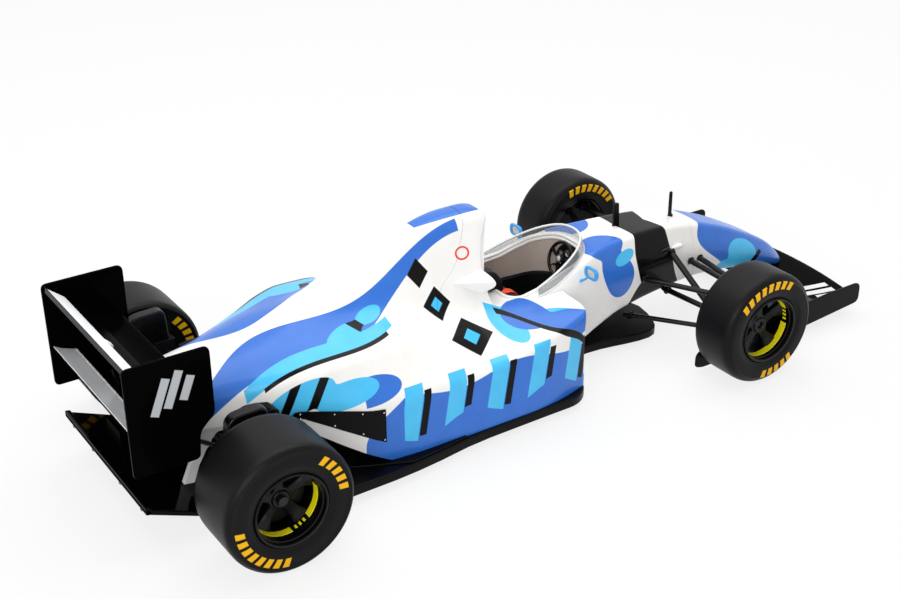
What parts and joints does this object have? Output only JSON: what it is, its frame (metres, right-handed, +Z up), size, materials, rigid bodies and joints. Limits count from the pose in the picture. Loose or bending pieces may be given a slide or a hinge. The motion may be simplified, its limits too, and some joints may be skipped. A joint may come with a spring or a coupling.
{
  "type": "scale model open wheel racing car",
  "caption": "Display model of an open wheel racing car with a tall engine cover, sidepods, wings and freely turning slick wheels.",
  "frame": {"origin": "on the ground plane under the middle of the car's length", "axes": "+X to the nose, +Y to the car's left, +Z up"},
  "size_m": [0.2566, 0.1112, 0.0586],
  "materials": {
    "body_paint": "gloss paint in white with blue, sky blue and black patches",
    "white_paint": "gloss white paint",
    "satin_black": "satin black",
    "gloss_black": "gloss black",
    "silver_paint": "satin silver paint",
    "mirror_paint": "gloss sky blue",
    "clear_screen": "clear vacuum-formed sheet",
    "seat_black": "matt black",
    "belt_webbing": "woven orange-red webbing",
    "trim_black": "satin black",
    "tyre_rubber": "satin black rubber with yellow side marks",
    "rim_black": "gloss black with a yellow band",
    "suspension_black": "satin black"
  },
  "bodies": {
    "car": {"air_scoop_left": "white_paint", "air_scoop_right": "white_paint", "antennas": "trim_black", "chassis_tub": "body_paint", "deck_fins": "satin_black", "diffuser": "satin_black", "engine_cover": "body_paint", "floor_pan": "satin_black", "front_endplate_left": "gloss_black", "front_endplate_right": "gloss_black", "front_wing_flaps": "gloss_black", "front_wing_main": "gloss_black", "gearbox": "satin_black", "harness": "belt_webbing", "headrest": "seat_black", "louvre_panel_left": "satin_black", "louvre_panel_right": "satin_black", "mirror_left": "mirror_paint", "mirror_right": "mirror_paint", "nose_cone": "body_paint", "radiator_cores": "satin_black", "rear_beam_wing": "silver_paint", "rear_endplate_left": "gloss_black", "rear_endplate_right": "gloss_black", "rear_wing_flap": "gloss_black", "rear_wing_main": "gloss_black", "roll_hoop_cover": "body_paint", "seat": "seat_black", "sidepod_left": "body_paint", "sidepod_right": "body_paint", "steering_wheel": "trim_black", "suspension_front_left": "suspension_black", "suspension_front_right": "suspension_black", "suspension_rear_left": "suspension_black", "suspension_rear_right": "suspension_black", "upright_front_left": "suspension_black", "upright_front_right": "suspension_black", "upright_rear_left": "suspension_black", "upright_rear_right": "suspension_black", "windscreen": "clear_screen", "wing_pylon": "satin_black"},
    "wheel_front_left": {"tyre_front_left": "tyre_rubber", "rim_front_left": "rim_black"},
    "wheel_front_right": {"tyre_front_right": "tyre_rubber", "rim_front_right": "rim_black"},
    "wheel_rear_left": {"tyre_rear_left": "tyre_rubber", "rim_rear_left": "rim_black"},
    "wheel_rear_right": {"tyre_rear_right": "tyre_rubber", "rim_rear_right": "rim_black"}
  },
  "joints": [
    {"name": "wheel_front_left_spin", "type": "hinge", "parent": "car", "child": "wheel_front_left", "pos_m": [0.06585, 0.0471, 0.0179], "axis": [0, 1, 0], "continuous": true},
    {"name": "wheel_front_right_spin", "type": "hinge", "parent": "car", "child": "wheel_front_right", "pos_m": [0.06585, -0.0471, 0.0179], "axis": [0, 1, 0], "continuous": true},
    {"name": "wheel_rear_left_spin", "type": "hinge", "parent": "car", "child": "wheel_rear_left", "pos_m": [-0.09865, 0.0486, 0.0181], "axis": [0, 1, 0], "continuous": true},
    {"name": "wheel_rear_right_spin", "type": "hinge", "parent": "car", "child": "wheel_rear_right", "pos_m": [-0.09865, -0.0486, 0.0181], "axis": [0, 1, 0], "continuous": true}
  ]
}
